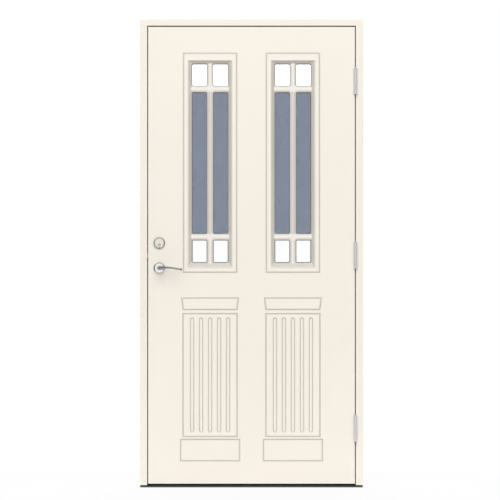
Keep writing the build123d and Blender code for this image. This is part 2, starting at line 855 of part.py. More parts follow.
# Lights of a window, as (side, z, height, end) from the window's centre: the end is 1 at the top,
# -1 at the bottom and 0 between the cross bars
light_x = (upright_bar + light_width) / 2
lights = [
    (side, z, height, end)
    for side in (-1, 1)
    for z, height, end in (
        ((opening_height - top_light_height) / 2, top_light_height, 1),
        ((bottom_light_height - top_light_height) / 2, tall_light_height, 0),
        ((bottom_light_height - opening_height) / 2, bottom_light_height, -1),
    )
]
edge_shift = (edge_step - bar_bevel) / 2


def window_grille(x, glass_y, skin_y, face_y, margin):
    """Moulded casing: a flange on the skin, a neck in the hole, and low bars between the lights."""
    with BuildPart() as grille:
        with BuildSketch(upright(skin_y)):
            with Locations((x, window_z)):
                Rectangle(casing_width + 2 * margin, casing_height + 2 * margin)
        extrude(amount=skin_y - face_y)
        rim = grille.faces().filter_by(Axis.Y).sort_by(lambda f: abs(f.center().Y - face_y))[0]
        fillet(rim.edges(), casing_round)
        with BuildSketch(upright(skin_y)):
            with Locations((x, window_z)):
                Rectangle(hole_width - 2 * neck_clearance, hole_height - 2 * neck_clearance)
        extrude(amount=skin_y - glass_y)
        bar_y = glass_y + bar_height * (1 if face_y > glass_y else -1)
        for y, border in ((bar_y, edge_step), (face_y, edge_step + casing_slope)):
            with BuildSketch(upright(y)):
                with Locations((x, window_z)):
                    Rectangle(opening_width + 2 * border, opening_height + 2 * border)
        loft(mode=Mode.SUBTRACT)
        for side, light_dz, height, end in lights:
            with BuildSketch(upright(glass_y)):
                with Locations((x + side * light_x, window_z + light_dz)):
                    RectangleRounded(light_width, height, light_corner)
            bar_width = light_width + bar_bevel + edge_step
            bar_length = height + 2 * bar_bevel + 2 * abs(end) * edge_shift
            with BuildSketch(upright(bar_y)):
                with Locations((x + side * (light_x + edge_shift), window_z + light_dz + end * edge_shift)):
                    RectangleRounded(bar_width, bar_length, bevel_corner)
            loft(mode=Mode.SUBTRACT)
    return grille


# Sealed units of a window, as (z, height) from its centre: the cross bars cover where they meet
unit_width = hole_width - 2 * pane_edge_gap
top_meeting = opening_height / 2 - top_light_height - cross_bar / 2
bottom_meeting = -opening_height / 2 + bottom_light_height + cross_bar / 2
unit_top = hole_height / 2 - pane_edge_gap
top_unit = ((unit_top + top_meeting + pane_edge_gap / 2) / 2, unit_top - top_meeting - pane_edge_gap / 2)
middle_unit = ((top_meeting + bottom_meeting) / 2, top_meeting - bottom_meeting - pane_edge_gap)
bottom_unit = ((bottom_meeting - pane_edge_gap / 2 - unit_top) / 2,
               bottom_meeting - pane_edge_gap / 2 + unit_top)
pane_pitch = (glass_back - glass_front - pane_thickness) / 2
pane_fronts = [glass_front + pane_pitch * i for i in range(3)]

with BuildPart() as glazing_gaskets:
    for column in (-1, 1):
        for side, light_dz, height, end in lights:
            place = (column * column_x + side * light_x, window_z + light_dz)
            for y, out in ((glass_front, 1), (glass_back, -1)):
                with BuildSketch(upright(y)):
                    with Locations(place):
                        RectangleRounded(light_width - 2 * gasket_clearance,
                                         height - 2 * gasket_clearance, light_corner)
                        RectangleRounded(light_width - 2 * gasket_width, height - 2 * gasket_width,
                                         light_corner - gasket_width, mode=Mode.SUBTRACT)
                extrude(amount=out * gasket_height)
write(glazing_gaskets.part, "glazing_gaskets")

for name, column in (("left", -1), ("right", 1)):
    x = column * column_x
    outer_grille = window_grille(x, glass_front, leaf_front, leaf_front - casing_proud, 0)
    write(outer_grille.part, f"{name}_outer_grille")

    inner_grille = window_grille(x, glass_back, leaf_back, leaf_back + casing_proud, inner_casing_margin)
    with inner_grille:
        with Locations(*grille_seats[column]):
            CounterSinkHole(small_screw_radius + thread_clearance, small_head_radius,
                            2 * casing_proud, counter_sink_angle=90)
    write(inner_grille.part, f"{name}_inner_grille")

    with BuildPart() as window_liner:
        with BuildSketch(upright(core_front)):
            with Locations((x, window_z)):
                Rectangle(liner_width, liner_height)
                Rectangle(hole_width, hole_height, mode=Mode.SUBTRACT)
        extrude(amount=core_front - core_back)
        with Locations(*grille_seats[column]):
            Hole(small_screw_radius + thread_clearance, depth=grille_screw_length)
    write(window_liner.part, f"{name}_window_liner")

    with BuildPart() as tinted_pane:
        with BuildSketch(upright(pane_fronts[0])):
            with Locations((x, window_z + middle_unit[0])):
                Rectangle(unit_width, middle_unit[1])
        extrude(amount=-pane_thickness)
    write(tinted_pane.part, f"{name}_tinted_pane")

    with BuildPart() as clear_panes:
        for unit_z, unit_height in (top_unit, middle_unit, bottom_unit):
            fronts = pane_fronts[1:] if unit_z == middle_unit[0] else pane_fronts
            for y in fronts:
                with BuildSketch(upright(y)):
                    with Locations((x, window_z + unit_z)):
                        Rectangle(unit_width, unit_height)
                extrude(amount=-pane_thickness)
    write(clear_panes.part, f"{name}_clear_panes")

    with BuildPart() as glazing_spacers:
        for unit_z, unit_height in (top_unit, middle_unit, bottom_unit):
            for y in pane_fronts[:2]:
                with BuildSketch(upright(y + pane_thickness)):
                    with Locations((x, window_z + unit_z)):
                        Rectangle(unit_width, unit_height)
                        Rectangle(unit_width - 2 * spacer_width, unit_height - 2 * spacer_width,
                                  mode=Mode.SUBTRACT)
                extrude(amount=pane_thickness - pane_pitch)
    write(glazing_spacers.part, f"{name}_glazing_spacers")

grille_screw = countersunk_screw(small_screw_radius, small_head_radius, grille_screw_length)
with BuildPart() as grille_screws:
    with Locations(*grille_seats[-1], *grille_seats[1]):
        add(grille_screw)
write(grille_screws.part, "grille_screws")

# Lock case: a tray closed by a cover, behind the forend
case_outer_y = lock_y - case_thickness / 2
case_inner_y = lock_y + case_thickness / 2
lever_journal_hole = lever_journal_radius + journal_clearance
cam_journal_hole = cam_journal_radius + journal_clearance
case_seats = {
    "lever": seat(lock_x, case_inner_y, lever_height, (0, 1, 0)),
    "cam": seat(lock_x, case_inner_y, turn_height, (0, 1, 0)),
}

with BuildPart() as lock_case:
    with BuildSketch(upright(case_outer_y)):
        with Locations(((case_front + case_back) / 2, forend_centre)):
            Rectangle(case_depth, case_length)
    extrude(amount=case_wall - case_thickness)
    with BuildSketch(upright(case_outer_y + case_wall)):
        with Locations(((case_front + case_back) / 2, forend_centre)):
            Rectangle(case_depth - 2 * case_wall, case_length - 2 * case_wall)
    extrude(amount=-case_thickness, mode=Mode.SUBTRACT)
    with BuildSketch(sideways(case_front)):
        for z, height in bolt_places.values():
            with Locations((lock_y, z)):
                Rectangle(bolt_thickness + 2 * bolt_clearance, height + 2 * bolt_clearance)
    extrude(amount=case_wall, mode=Mode.SUBTRACT)
    with Locations(case_seats["lever"]):
        Hole(lever_journal_hole, depth=case_thickness)
    with Locations(case_seats["cam"]):
        Hole(cam_journal_hole, depth=case_thickness)
    with Locations(*lever_bolt_seats, *cylinder_bolt_seats):
        Hole(bolt_hole_radius, depth=2 * leaf_thickness)
write(lock_case.part, "lock_case")

with BuildPart() as lock_case_cover:
    with BuildSketch(upright(case_inner_y - case_wall)):
        with Locations(((case_front + case_back) / 2, forend_centre)):
            Rectangle(case_depth, case_length)
    extrude(amount=-case_wall)
    with Locations(case_seats["lever"]):
        Hole(lever_journal_hole, depth=case_thickness)
    with Locations(case_seats["cam"]):
        Hole(cam_journal_hole, depth=case_thickness)
    with Locations(*lever_bolt_seats, *cylinder_bolt_seats):
        Hole(bolt_hole_radius, depth=2 * leaf_thickness)
write(lock_case_cover.part, "lock_case_cover")

with BuildPart() as lock_forend:
    with BuildSketch(sideways(-leaf_half)):
        with Locations((lock_y, forend_centre)):
            Rectangle(forend_width, forend_length)
        for z, height in bolt_places.values():
            with Locations((lock_y, z)):
                Rectangle(bolt_thickness + 2 * bolt_clearance, height + 2 * bolt_clearance,
                          mode=Mode.SUBTRACT)
    extrude(amount=forend_thickness)
    with Locations(*forend_seats):
        CounterSinkHole(screw_radius + thread_clearance, screw_head_radius,
                        forend_screw_length, counter_sink_angle=90)
write(lock_forend.part, "lock_forend")

forend_screw = countersunk_screw(screw_radius, screw_head_radius, forend_screw_length)
with BuildPart() as forend_screws:
    with Locations(*forend_seats):
        add(forend_screw)
write(forend_screws.part, "forend_screws")

# Latch: its sloped nose faces the stop, and a fork behind it is moved by the lever follower
bolt_front_y = lock_y - bolt_thickness / 2
bolt_back_y = lock_y + bolt_thickness / 2
fork_back_y = bolt_front_y + fork_layer
arm_front_y = fork_back_y + arm_layer_gap
fork_slot = 2 * (drive_pin_radius + fork_clearance)
latch_start = radians(latch_arm_turn / 2)
latch_pin_x = lock_x - latch_arm_radius * sin(latch_start)
latch_nose = -leaf_half - latch_projection
latch_tail = case_front + latch_body
latch_fork_bottom = lever_height + lever_hub_radius + fork_clearance
latch_fork_top = latch_centre + latch_height / 2
latch_slot_top = lever_height + latch_arm_radius + drive_pin_radius + fork_clearance

with BuildPart() as latch_bolt:
    with BuildSketch(Plane.XY.offset(latch_centre - latch_height / 2)):
        with BuildLine():
            Polyline(
                (latch_nose, bolt_front_y),
                (latch_tail, bolt_front_y),
                (latch_tail, bolt_back_y),
                (latch_nose + latch_bevel, bolt_back_y),
                (latch_nose, bolt_front_y + latch_nose_flat),
                close=True,
            )
        make_face()
    extrude(amount=latch_height)
    fork_right = latch_pin_x + fork_slot / 2 + fork_prong
    fork_left = latch_pin_x - fork_slot / 2 - fork_prong
    with BuildSketch(upright(bolt_front_y)):
        with Locations(((latch_tail + fork_right) / 2 - fork_prong, latch_centre)):
            Rectangle(fork_right - latch_tail + 2 * fork_prong, latch_height)
        with Locations(((fork_left + fork_right) / 2, (latch_fork_bottom + latch_fork_top) / 2)):
            Rectangle(fork_right - fork_left, latch_fork_top - latch_fork_bottom)
        with Locations((latch_pin_x, (latch_fork_bottom + latch_slot_top) / 2)):
            Rectangle(fork_slot, latch_slot_top - latch_fork_bottom, mode=Mode.SUBTRACT)
    extrude(amount=-fork_layer)
write(latch_bolt.part, "latch_bolt")


def follower(height, hub, journal, arm_radius, arm_angle, square, slot):
    """Follower in the lock case: a hub between two journals, and an arm whose pin moves the fork."""
    pin_x = lock_x + arm_radius * cos(radians(arm_angle))
    pin_z = height + arm_radius * sin(radians(arm_angle))
    with BuildPart() as piece:
        with BuildSketch(upright(case_outer_y)):
            with Locations((lock_x, height)):
                Circle(journal)
        extrude(amount=-case_thickness)
        with BuildSketch(upright(bolt_front_y)):
            with Locations((lock_x, height)):
                Circle(hub)
        extrude(amount=-bolt_thickness)
        with BuildSketch(upright(arm_front_y)):
            with Locations(((lock_x + pin_x) / 2, (height + pin_z) / 2)):
                SlotOverall(arm_radius + arm_width, arm_width, rotation=arm_angle)
        extrude(amount=arm_front_y - bolt_back_y)
        with BuildSketch(upright(bolt_front_y + bolt_clearance)):
            with Locations((pin_x, pin_z)):
                Circle(drive_pin_radius)
        extrude(amount=bolt_front_y + bolt_clearance - arm_front_y)
        with BuildSketch(upright(case_outer_y)):
            with Locations((lock_x, height)):
                Rectangle(square, slot)
        extrude(amount=-case_thickness, mode=Mode.SUBTRACT)
    return piece.part


spindle_hole_side = spindle_side + 2 * spindle_clearance
lever_follower = follower(
    lever_height,
    lever_hub_radius,
    lever_journal_radius,
    latch_arm_radius,
    90 + latch_arm_turn / 2,
    spindle_hole_side,
    spindle_hole_side,
)
write(lever_follower, "lever_follower")

# Deadbolt and the cam that throws it
deadbolt_start = radians(deadbolt_arm_turn / 2)
deadbolt_pin_x = lock_x + deadbolt_arm_radius * sin(deadbolt_start)
deadbolt_nose = -leaf_half + case_clearance
deadbolt_tail = deadbolt_nose + deadbolt_length
deadbolt_fork_top = turn_height - cam_hub_radius - fork_clearance
deadbolt_slot_bottom = turn_height - deadbolt_arm_radius - drive_pin_radius - fork_clearance
deadbolt_fork_bottom = deadbolt_slot_bottom - fork_prong

with BuildPart() as deadbolt:
    with BuildSketch(upright(bolt_front_y)):
        with Locations(((deadbolt_nose + deadbolt_tail) / 2, deadbolt_centre)):
            Rectangle(deadbolt_length, deadbolt_height)
    extrude(amount=-bolt_thickness)
    chamfer(deadbolt.faces().sort_by(Axis.X)[0].edges(), deadbolt_edge)
    deadbolt_fork_right = deadbolt_pin_x + fork_slot / 2 + fork_prong
    deadbolt_fork_left = deadbolt_pin_x - fork_slot / 2 - fork_prong
    with BuildSketch(upright(bolt_front_y)):
        with Locations(((deadbolt_tail + deadbolt_fork_right) / 2 - fork_prong,
                        (deadbolt_fork_bottom + deadbolt_slot_bottom) / 2)):
            Rectangle(deadbolt_fork_right - deadbolt_tail + 2 * fork_prong, fork_prong)
        with Locations(((deadbolt_fork_left + deadbolt_fork_right) / 2,
                        (deadbolt_fork_bottom + deadbolt_fork_top) / 2)):
            Rectangle(deadbolt_fork_right - deadbolt_fork_left, deadbolt_fork_top - deadbolt_fork_bottom)
        with Locations((deadbolt_pin_x, (deadbolt_slot_bottom + deadbolt_fork_top) / 2)):
            Rectangle(fork_slot, deadbolt_fork_top - deadbolt_slot_bottom, mode=Mode.SUBTRACT)
    extrude(amount=-fork_layer)
write(deadbolt.part, "deadbolt")

deadbolt_cam = follower(
    turn_height,
    cam_hub_radius,
    cam_journal_radius,
    deadbolt_arm_radius,
    -90 + deadbolt_arm_turn / 2,
    tail_thickness + 2 * spindle_clearance,
    tail_width + 2 * spindle_clearance,
)
write(deadbolt_cam, "deadbolt_cam")


# Handles: the same lever outside and inside on one square spindle, each in its rose
def turned(x, z, profile):
    """Piece turned about the line along Y through x, z, from points (radius, y)."""
    with BuildPart() as piece:
        with BuildSketch(Plane.XY.offset(z)):
            with BuildLine():
                Polyline(*[(x + radius, y) for radius, y in profile], close=True)
            make_face()
        revolve(axis=Axis((x, 0, z), (0, 1, 0)))
    return piece


neck_bore = lever_neck_radius + journal_clearance

outer_lever_rose = turned(lock_x, lever_height, [
    (neck_bore, leaf_front),
    (rose_radius, leaf_front),
    (rose_radius, leaf_front - ring_base),
    (rose_radius - rose_rim, leaf_front - rose_height),
    (neck_bore, leaf_front - rose_height),
])
with outer_lever_rose:
    with Locations(*lever_bolt_seats):
        Hole(bolt_hole_radius, depth=leaf_back + rose_base - bolt_end_y)
write(outer_lever_rose.part, "outer_lever_rose")

inner_lever_rose = turned(lock_x, lever_height, [
    (neck_bore, leaf_back),
    (rose_radius, leaf_back),
    (rose_radius, leaf_back + rose_base - rose_edge),
    (rose_radius - rose_edge, leaf_back + rose_base),
    (rose_step_radius + rose_edge, leaf_back + rose_base),
    (rose_step_radius, leaf_back + rose_height - rose_edge),
    (rose_step_radius - rose_edge, leaf_back + rose_height),
    (neck_bore, leaf_back + rose_height),
])
with inner_lever_rose:
    with Locations(*lever_bolt_seats):
        CounterSinkHole(bolt_hole_radius, screw_head_radius, 2 * rose_base, counter_sink_angle=90)
write(inner_lever_rose.part, "inner_lever_rose")

# Sections of the lever's grip, as (reach, rise, half height, half depth)
grip_sections = [
    (0.0, 0.0, 8.0, 8.0),
    (0.24 * lever_reach, lever_rise, 6.8, 6.4),
    (0.55 * lever_reach, 0.2 * lever_rise, 4.5, 5.2),
    (0.8 * lever_reach, -0.6 * lever_drop, 4.0, 4.6),
    (0.93 * lever_reach, -0.95 * lever_drop, 4.8, 5.0),
]


def lever_handle(face, out):
    """Lever with its neck on the face at y, standing out in the direction -1 or +1."""
    grip_y = face + out * lever_projection
    neck_y = face + out * lever_neck_start
    socket_depth = lever_projection - lever_neck_start - lever_neck_radius
    with BuildPart() as lever:
        with BuildSketch(upright(neck_y)):
            with Locations((lock_x, lever_height)):
                Circle(lever_neck_radius)
        extrude(amount=-out * (lever_projection - lever_neck_start))
        with Locations((lock_x, grip_y, lever_height)):
            Sphere(lever_neck_radius)
        for reach, rise, half_height, half_depth in grip_sections:
            with BuildSketch(sideways(lock_x + reach)):
                with Locations((grip_y, lever_height + rise)):
                    Ellipse(half_depth, half_height)
        loft()
        with Locations((lock_x + lever_reach - lever_knob_radius, grip_y, lever_height - lever_drop)):
            Sphere(lever_knob_radius)
        with BuildSketch(upright(neck_y)):
            with Locations((lock_x, lever_height)):
                Rectangle(spindle_hole_side, spindle_hole_side)
        extrude(amount=-out * socket_depth, mode=Mode.SUBTRACT)
    return lever.part


write(lever_handle(leaf_front, -1), "outer_lever")
write(lever_handle(leaf_back, 1), "inner_lever")

spindle_reach = lever_projection - lever_neck_radius - spindle_end_gap
with BuildPart() as spindle:
    with BuildSketch(upright(leaf_front - spindle_reach)):
        with Locations((lock_x, lever_height)):
            Rectangle(spindle_side, spindle_side)
    extrude(amount=-(leaf_thickness + 2 * spindle_reach))
write(spindle.part, "spindle")

# Cylinder outside, with its ring, and the thumbturn inside
cylinder_face = leaf_front - ring_length + cylinder_face_step
plug_bore = plug_radius + pin_clearance

cylinder_ring = turned(lock_x, ring_height, [
    (ring_bore, leaf_front),
    (ring_radius, leaf_front),
    (ring_radius, leaf_front - ring_base),
    (ring_front_radius, leaf_front - ring_length),
    (ring_bore, leaf_front - ring_length),
])
write(cylinder_ring.part, "cylinder_ring")

cylinder_body = turned(lock_x, ring_height, [
    (0, cylinder_face),
    (ring_bore - ring_clearance, cylinder_face),
    (ring_bore - ring_clearance, leaf_front),
    (cylinder_body_radius, leaf_front),
    (cylinder_body_radius, case_outer_y - case_clearance),
    (0, case_outer_y - case_clearance),
])
with cylinder_body:
    with Locations(seat(lock_x, cylinder_face, turn_height, (0, -1, 0))):
        Hole(plug_bore, depth=2 * leaf_thickness)
    with Locations(*cylinder_bolt_seats):
        Hole(bolt_hole_radius, depth=leaf_back + rose_base - cylinder_bolt_end_y)
write(cylinder_body.part, "cylinder_body")

with BuildPart() as key_plug:
    with BuildSketch(upright(cylinder_face - ring_clearance)):
        with Locations((lock_x, turn_height)):
            Circle(plug_radius)
    extrude(amount=cylinder_face - ring_clearance - (case_outer_y - case_clearance))
    with BuildSketch(upright(cylinder_face - ring_clearance)):
        with Locations((lock_x, turn_height - plug_radius + keyway_height / 2 + keyway_wall)):
            Rectangle(keyway_width, keyway_height)
    extrude(amount=-keyway_depth, mode=Mode.SUBTRACT)
    with BuildSketch(upright(case_outer_y - case_clearance)):
        with Locations((lock_x, turn_height)):
            Rectangle(tail_thickness, tail_width)
    extrude(amount=case_outer_y - case_clearance - (lock_y - tail_gap))
write(key_plug.part, "key_plug")

thumbturn_rose = turned(lock_x, turn_height, [
    (thumbturn_shaft_radius + journal_clearance, leaf_back),
    (rose_radius, leaf_back),
    (rose_radius, leaf_back + rose_base - rose_edge),
    (rose_radius - rose_edge, leaf_back + rose_base),
    (thumbturn_shaft_radius + journal_clearance, leaf_back + rose_base),
])
with thumbturn_rose:
    with Locations(*cylinder_bolt_seats):
        CounterSinkHole(bolt_hole_radius, screw_head_radius, 2 * rose_base, counter_sink_angle=90)
write(thumbturn_rose.part, "thumbturn_rose")

thumbturn_base = leaf_back + rose_base + thumbturn_lift
thumbturn_stem = turned(lock_x, turn_height, [
    (0, core_back - thumbturn_shaft_depth),
    (thumbturn_shaft_radius, core_back - thumbturn_shaft_depth),
    (thumbturn_shaft_radius, thumbturn_base),
    (thumbturn_collar, thumbturn_base),
    (thumbturn_collar - rose_edge, thumbturn_base + thumbturn_collar_height),
    (0, thumbturn_base + thumbturn_collar_height),
])
with BuildPart() as thumbturn:
    add(thumbturn_stem.part)
    with BuildSketch(upright(thumbturn_base)):
        with Locations((lock_x, turn_height)):
            SlotOverall(grip_width, grip_thickness, rotation=90)
    extrude(amount=-thumbturn_length)
    fillet(thumbturn.faces().sort_by(Axis.Y)[-1].edges(), thumbturn_round)
    with BuildSketch(upright(core_back - thumbturn_shaft_depth)):
        with Locations((lock_x, turn_height)):
            Rectangle(tail_thickness, tail_width)
    extrude(amount=core_back - thumbturn_shaft_depth - (lock_y + tail_gap))
write(thumbturn.part, "thumbturn")

bolt_seat_y = leaf_back + rose_base
lever_bolt = countersunk_screw(screw_radius, screw_head_radius, bolt_seat_y - bolt_end_y)
cylinder_bolt = countersunk_screw(screw_radius, screw_head_radius, bolt_seat_y - cylinder_bolt_end_y)
with BuildPart() as furniture_screws:
    with Locations(*lever_bolt_seats):
        add(lever_bolt)
    with Locations(*cylinder_bolt_seats):
        add(cylinder_bolt)
write(furniture_screws.part, "furniture_screws")
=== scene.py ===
import bpy
import json
from math import pi, radians
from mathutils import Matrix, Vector

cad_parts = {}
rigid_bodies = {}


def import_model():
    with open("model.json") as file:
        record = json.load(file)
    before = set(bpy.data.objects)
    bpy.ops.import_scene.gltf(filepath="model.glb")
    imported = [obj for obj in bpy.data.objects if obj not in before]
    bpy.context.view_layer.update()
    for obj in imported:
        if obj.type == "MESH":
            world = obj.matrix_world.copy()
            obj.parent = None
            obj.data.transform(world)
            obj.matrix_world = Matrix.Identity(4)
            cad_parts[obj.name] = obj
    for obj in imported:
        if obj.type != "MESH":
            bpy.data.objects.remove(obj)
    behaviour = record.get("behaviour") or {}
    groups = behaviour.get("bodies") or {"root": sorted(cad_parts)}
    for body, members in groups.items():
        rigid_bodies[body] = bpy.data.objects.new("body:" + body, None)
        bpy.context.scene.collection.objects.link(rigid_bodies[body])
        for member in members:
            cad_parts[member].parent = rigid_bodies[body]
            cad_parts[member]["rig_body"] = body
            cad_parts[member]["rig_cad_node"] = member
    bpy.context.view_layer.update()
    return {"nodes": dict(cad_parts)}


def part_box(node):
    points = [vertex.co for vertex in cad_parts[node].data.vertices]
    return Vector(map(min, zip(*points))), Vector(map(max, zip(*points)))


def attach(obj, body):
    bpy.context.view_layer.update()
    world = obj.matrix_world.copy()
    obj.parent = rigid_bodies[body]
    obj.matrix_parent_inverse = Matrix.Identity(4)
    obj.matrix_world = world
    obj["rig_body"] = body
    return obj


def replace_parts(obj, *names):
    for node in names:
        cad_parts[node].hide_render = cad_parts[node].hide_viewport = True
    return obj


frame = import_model()


# Frame timber: two jambs with the head lying across them, planed softwood with a rebate for the
# leaf. Filled, primed and sprayed cream before it is screwed together at the corners.
timber_edge = 0.0008
sharp_from = 40
round_under = 32
level_under = 0.4
touching = 0.00001


def finish(name, shades, mottle, grain, relief, roughness, stretch=(1, 1, 1), metal=0.0):
    """Material whose shades, roughness and relief drift over the surface, as on a real finish."""
    material = bpy.data.materials.new(name)
    material.use_nodes = True
    nodes, links = material.node_tree.nodes, material.node_tree.links
    shader = nodes["Principled BSDF"]
    shader.inputs["Metallic"].default_value = metal
    surface = nodes.new("ShaderNodeTexCoord")
    stretched = nodes.new("ShaderNodeMapping")
    stretched.inputs["Scale"].default_value = stretch
    links.new(surface.outputs["Object"], stretched.inputs["Vector"])
    broad = nodes.new("ShaderNodeTexNoise")
    broad.inputs["Scale"].default_value = mottle
    broad.inputs["Detail"].default_value = 3
    fine = nodes.new("ShaderNodeTexNoise")
    fine.inputs["Scale"].default_value = grain
    fine.inputs["Detail"].default_value = 2
    for noise in (broad, fine):
        links.new(stretched.outputs["Vector"], noise.inputs["Vector"])
    colour = nodes.new("ShaderNodeMix")
    colour.data_type = "RGBA"
    colour.inputs["A"].default_value = (*shades[0], 1)
    colour.inputs["B"].default_value = (*shades[1], 1)
    links.new(broad.outputs["Fac"], colour.inputs["Factor"])
    links.new(colour.outputs["Result"], shader.inputs["Base Color"])
    gloss = nodes.new("ShaderNodeMapRange")
    gloss.inputs["To Min"].default_value = roughness[0]
    gloss.inputs["To Max"].default_value = roughness[1]
    links.new(fine.outputs["Fac"], gloss.inputs["Value"])
    links.new(gloss.outputs["Result"], shader.inputs["Roughness"])
    bump = nodes.new("ShaderNodeBump")
    bump.inputs["Strength"].default_value = 1
    bump.inputs["Distance"].default_value = relief
    links.new(fine.outputs["Fac"], bump.inputs["Height"])
    links.new(bump.outputs["Normal"], shader.inputs["Normal"])
    return material


def clear():
    """Leaves nothing selected, so that the next operator acts on its own piece alone."""
    bpy.ops.object.select_all(action="DESELECT")


def smooth(piece, angle):
    """Smooth shading where faces meet at less than angle degrees, with flat faces kept level."""
    bpy.ops.object.shade_smooth_by_angle(angle=radians(angle))
    level = piece.modifiers.new("level_faces", "WEIGHTED_NORMAL")
    level.keep_sharp = True
    bpy.ops.object.modifier_apply(modifier=level.name)


def reworked(material, edge, angle, *names):
    """Copies that stand for their nodes, smooth where they are round, with edges broken by edge."""
    for name in names:
        clear()
        node = frame["nodes"][name]
        node.select_set(True)
        bpy.context.view_layer.objects.active = node
        bpy.ops.object.duplicate()
        piece = bpy.context.object
        piece.name = f"{name}_made"
        del piece["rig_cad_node"]
        bpy.ops.mesh.customdata_custom_splitnormals_clear()
        bpy.ops.object.mode_set(mode="EDIT")
        bpy.ops.mesh.select_all(action="SELECT")
        bpy.ops.mesh.remove_doubles(threshold=touching)
        bpy.ops.mesh.dissolve_limited(angle_limit=radians(level_under))
        bpy.ops.object.mode_set(mode="OBJECT")
        if edge:
            breaking = piece.modifiers.new("broken_edges", "BEVEL")
            breaking.width = edge
            breaking.segments = 2
            breaking.limit_method = "ANGLE"
            breaking.angle_limit = radians(sharp_from)
            breaking.miter_outer = "MITER_ARC"
            bpy.ops.object.modifier_apply(modifier=breaking.name)
        smooth(piece, angle)
        for part in piece.material_slots:
            part.material = material
        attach(piece, node["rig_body"])
        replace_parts(piece, name)
    return piece


frame_paint = finish("frame_paint", shades=((0.900, 0.842, 0.752), (0.930, 0.872, 0.785)),
                     mottle=2.5, grain=520, relief=0.00004, roughness=(0.34, 0.46))
reworked(frame_paint, timber_edge, round_under, "hinge_jamb", "lock_jamb", "frame_head")


# Threshold: a drawn aluminium plate with a sloping nose, and a stop that the leaf closes on.
# Dark bronze anodised, screwed to the floor between the jambs.
threshold_edge = 0.0004
threshold_metal = finish("threshold_metal", shades=((0.078, 0.086, 0.078), (0.118, 0.128, 0.116)),
                         mottle=6, grain=900, relief=0.00002, roughness=(0.30, 0.48),
                         stretch=(0.08, 1, 1), metal=0.9)
reworked(threshold_metal, threshold_edge, round_under, "threshold_plate", "threshold_stop")


# Seals: extruded black rubber bulbs pushed into grooves of the frame and of the threshold stop.
# The leaf presses on them when it is shut.
def dress(material, *names):
    """Gives nodes, as they come from the frame, the finish that their real pieces have."""
    for name in names:
        for part in frame["nodes"][name].material_slots:
            part.material = material


seal_rubber = finish("seal_rubber", shades=((0.012, 0.012, 0.013), (0.022, 0.022, 0.023)),
                     mottle=30, grain=1200, relief=0.00003, roughness=(0.55, 0.75))
dress(seal_rubber, "frame_seal", "threshold_seal")


# Screws and fixing sleeves: zinc plated steel, with the faint blue and yellow of the plating.
# The sleeves are turned against the wall to set the frame plumb, the screws hold all the fittings.
zinc_plate = finish("zinc_plate", shades=((0.50, 0.50, 0.47), (0.60, 0.61, 0.63)),
                    mottle=40, grain=1500, relief=0.00002, roughness=(0.28, 0.45), metal=1.0)
dress(zinc_plate, "frame_screws", "frame_sleeves", "hinge_frame_screws", "hinge_leaf_screws",
      "strike_screws", "forend_screws", "grille_screws")


# Hinges: rolled steel barrels on screwed plates, satin chrome plated, with a loose pin from above.
# One of three holds the leaf at the top, one at the middle and one at the bottom.
hinge_edge = 0.0009
pin_edge = 0.0006
hinge_metal = finish("hinge_metal", shades=((0.78, 0.77, 0.78), (0.86, 0.85, 0.86)),
                     mottle=25, grain=1400, relief=0.00001, roughness=(0.24, 0.34), metal=0.45)
reworked(hinge_metal, pin_edge, round_under, "hinge_pins")
for hinge in ("lower_hinge", "middle_hinge", "upper_hinge"):
    reworked(hinge_metal, hinge_edge, round_under, f"{hinge}_frame_leaf", f"{hinge}_door_leaf")


# Core of the leaf: rigid foam between the stiles and rails, glued in with the faces.
# The openings for the windows are lined with bare laminated pine.
foam = finish("foam", shades=((0.80, 0.72, 0.46), (0.88, 0.82, 0.60)),
              mottle=12, grain=700, relief=0.0004, roughness=(0.8, 0.95))
dress(foam, "insulation_core")
pine = finish("pine", shades=((0.50, 0.33, 0.17), (0.72, 0.53, 0.32)),
              mottle=9, grain=260, relief=0.00012, roughness=(0.55, 0.75), stretch=(1, 1, 0.06))
dress(pine, "left_window_liner", "right_window_liner")


# Faces of the leaf: weatherproof board milled with the panel lines and flutes, glued to pine
# stiles and rails, and sprayed cream with them: a satin paint with the slightest orange peel.
slope_parts = (0.16, 0.26, 0.93, 0.985)
skin_round_under = 20


def shade_slopes(material, depth):
    """Painted shade: darkens a finish by depth on slopes that turn part way out of the face."""
    nodes, links = material.node_tree.nodes, material.node_tree.links
    shader = nodes["Principled BSDF"]
    coat = shader.inputs["Base Color"].links[0].from_socket
    surface = nodes.new("ShaderNodeTexCoord")
    split = nodes.new("ShaderNodeSeparateXYZ")
    links.new(surface.outputs["Normal"], split.inputs["Vector"])
    outward = nodes.new("ShaderNodeMath")
    outward.operation = "ABSOLUTE"
    links.new(split.outputs["Y"], outward.inputs[0])
    ramp = nodes.new("ShaderNodeValToRGB")
    steps = ramp.color_ramp.elements
    sideways, slope_start, slope_end, level = slope_parts
    steps[0].position, steps[0].color = sideways, (1, 1, 1, 1)
    steps[1].position, steps[1].color = level, (1, 1, 1, 1)
    for position in (slope_start, slope_end):
        steps.new(position).color = (depth, depth * 0.992, depth * 0.978, 1)
    links.new(outward.outputs["Value"], ramp.inputs["Fac"])
    painted_shade = nodes.new("ShaderNodeMix")
    painted_shade.data_type = "RGBA"
    painted_shade.blend_type = "MULTIPLY"
    painted_shade.inputs["Factor"].default_value = 1
    links.new(coat, painted_shade.inputs["A"])
    links.new(ramp.outputs["Color"], painted_shade.inputs["B"])
    links.new(painted_shade.outputs["Result"], shader.inputs["Base Color"])


